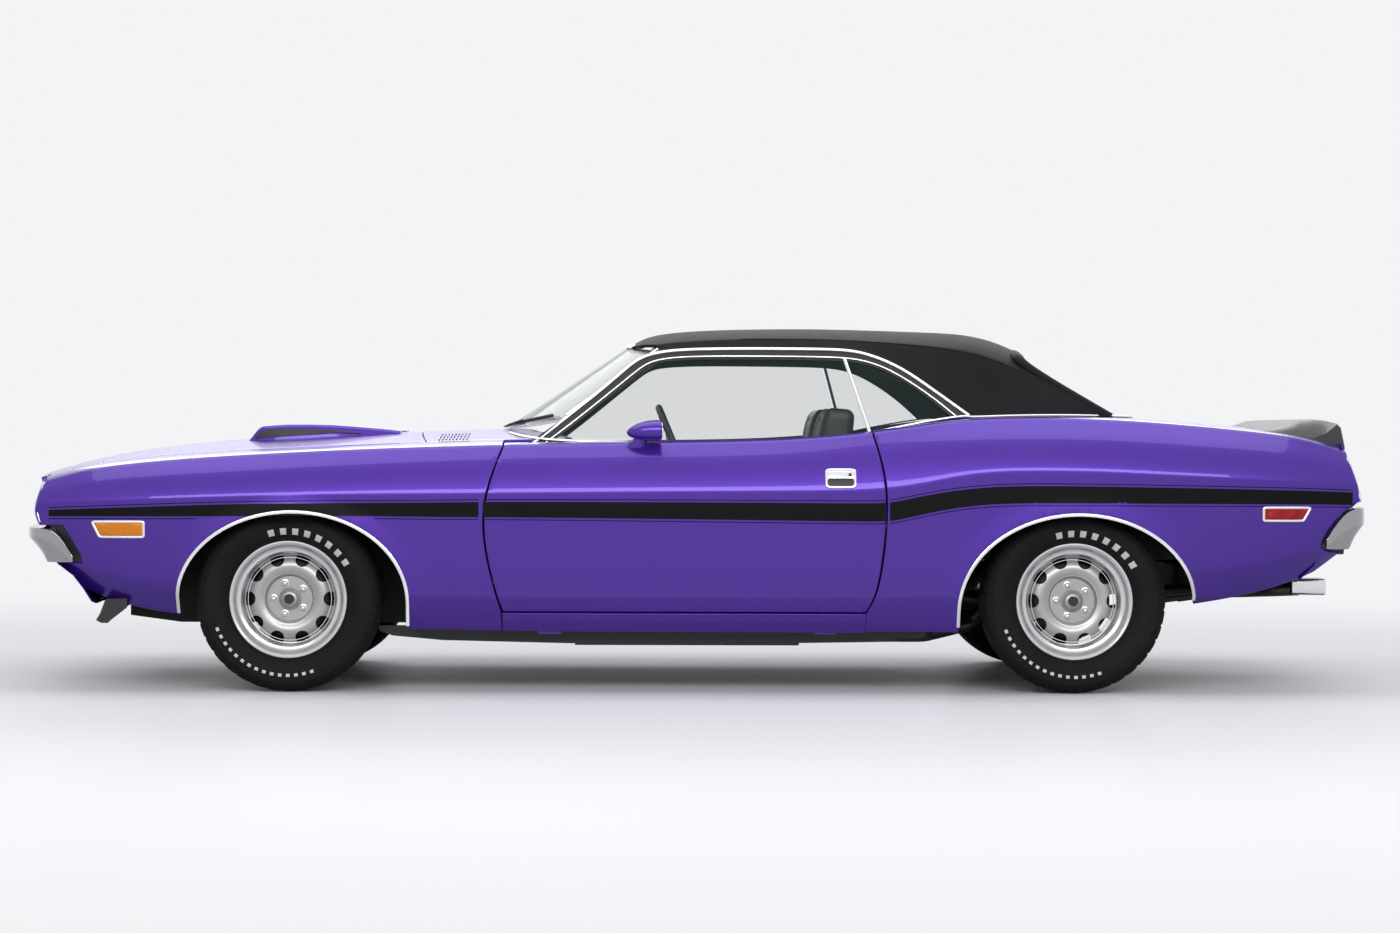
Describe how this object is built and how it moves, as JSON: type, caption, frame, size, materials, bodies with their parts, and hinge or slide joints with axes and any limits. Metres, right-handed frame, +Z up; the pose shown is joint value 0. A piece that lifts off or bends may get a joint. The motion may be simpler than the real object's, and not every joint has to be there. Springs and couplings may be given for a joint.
{
  "type": "two-door hardtop muscle car",
  "caption": "Two-door hardtop muscle car with scooped hood, rear spoiler, black side stripe, opening doors, hood and decklid, and steered front wheels.",
  "frame": {"origin": "on the ground at the middle of the car's length and width", "axes": "-X is forward, -Y is the car's left side, +Z is up"},
  "size_m": [4.859, 1.932, 1.3119],
  "materials": {
    "body_paint": "metallic purple enamel under clear lacquer",
    "roof_vinyl": "black grained vinyl",
    "clear_glass": "green-grey tinted safety glass",
    "bright_metal": "polished chrome",
    "bumper_metal": "dark chrome",
    "satin_black": "satin black paint",
    "wheel_paint": "silver-grey wheel enamel",
    "tyre": "black rubber with white marks",
    "lamp_clear": "clear fluted lens",
    "lamp_red": "red lens",
    "lamp_amber": "amber and red lens",
    "cabin_trim": "dark grey-green vinyl",
    "cabin_plastic": "grained black plastic",
    "underbody": "black chassis paint",
    "engine_paint": "orange engine enamel",
    "exhaust_steel": "steel with heat tint"
  },
  "bodies": {
    "root": {"floor_pan": "underbody", "sills": "body_paint", "radiator_support": "underbody", "inner_fender_left": "underbody", "inner_fender_right": "underbody", "trunk_floor": "underbody", "fender_left": "body_paint", "fender_right": "body_paint", "quarter_panel_left": "body_paint", "quarter_panel_right": "body_paint", "roof": "roof_vinyl", "cowl_panel": "body_paint", "rear_deck_panel": "body_paint", "nose_panel": "body_paint", "tail_panel": "satin_black", "grille": "satin_black", "headlamps": "lamp_clear", "tail_lamps": "lamp_red", "marker_lamps": "lamp_amber", "bumper_front": "bumper_metal", "bumper_rear": "bumper_metal", "fixed_glass": "clear_glass", "dashboard": "cabin_plastic", "steering_wheel": "cabin_plastic", "front_seats": "cabin_trim", "rear_seat": "cabin_trim", "engine": "engine_paint", "exhaust": "exhaust_steel", "fuel_tank": "underbody", "rear_axle": "underbody", "front_suspension": "underbody", "chin_spoilers": "satin_black"},
    "hood": {"hood": "body_paint", "hood_scoop": "body_paint"},
    "decklid": {"decklid": "body_paint", "rear_spoiler": "satin_black"},
    "door_left": {"door_left": "body_paint", "door_glass_left": "clear_glass", "mirror_left": "body_paint"},
    "door_right": {"door_right": "body_paint", "door_glass_right": "clear_glass", "mirror_right": "body_paint"},
    "knuckle_left": {"knuckle_left": "underbody"},
    "knuckle_right": {"knuckle_right": "underbody"},
    "wheel_front_left": {"wheel_front_left": "wheel_paint", "tyre_front_left": "tyre"},
    "wheel_front_right": {"wheel_front_right": "wheel_paint", "tyre_front_right": "tyre"},
    "wheel_rear_left": {"wheel_rear_left": "wheel_paint", "tyre_rear_left": "tyre"},
    "wheel_rear_right": {"wheel_rear_right": "wheel_paint", "tyre_rear_right": "tyre"}
  },
  "joints": [
    {"name": "steer_left", "type": "hinge", "parent": "root", "child": "knuckle_left", "pos_m": [-1.4455, -0.68, 0.328], "axis": [0, 0, 1], "range_deg": [-33, 33]},
    {"name": "spin_front_left", "type": "hinge", "parent": "knuckle_left", "child": "wheel_front_left", "pos_m": [-1.4455, -0.758, 0.328], "axis": [0, 1, 0], "continuous": true},
    {"name": "spin_rear_left", "type": "hinge", "parent": "root", "child": "wheel_rear_left", "pos_m": [1.3485, -0.771, 0.328], "axis": [0, 1, 0], "continuous": true},
    {"name": "door_left_hinge", "type": "hinge", "parent": "root", "child": "door_left", "pos_m": [-0.761, -0.947, 0.6], "axis": [0, 0, -1], "range_deg": [0, 65]},
    {"name": "steer_right", "type": "hinge", "parent": "root", "child": "knuckle_right", "pos_m": [-1.4455, 0.68, 0.328], "axis": [0, 0, 1], "range_deg": [-33, 33]},
    {"name": "spin_front_right", "type": "hinge", "parent": "knuckle_right", "child": "wheel_front_right", "pos_m": [-1.4455, 0.758, 0.328], "axis": [0, 1, 0], "continuous": true},
    {"name": "spin_rear_right", "type": "hinge", "parent": "root", "child": "wheel_rear_right", "pos_m": [1.3485, 0.771, 0.328], "axis": [0, 1, 0], "continuous": true},
    {"name": "door_right_hinge", "type": "hinge", "parent": "root", "child": "door_right", "pos_m": [-0.761, 0.947, 0.6], "axis": [0, 0, 1], "range_deg": [0, 65]},
    {"name": "hood_hinge", "type": "hinge", "parent": "root", "child": "hood", "pos_m": [-0.965, 0, 0.946], "axis": [0, 1, 0], "range_deg": [0, 50]},
    {"name": "decklid_hinge", "type": "hinge", "parent": "root", "child": "decklid", "pos_m": [1.703, 0, 0.987], "axis": [0, -1, 0], "range_deg": [0, 60]}
  ],
  "couplings": [
    {"joint": "steer_right", "follows": "steer_left", "ratio": 1}
  ]
}
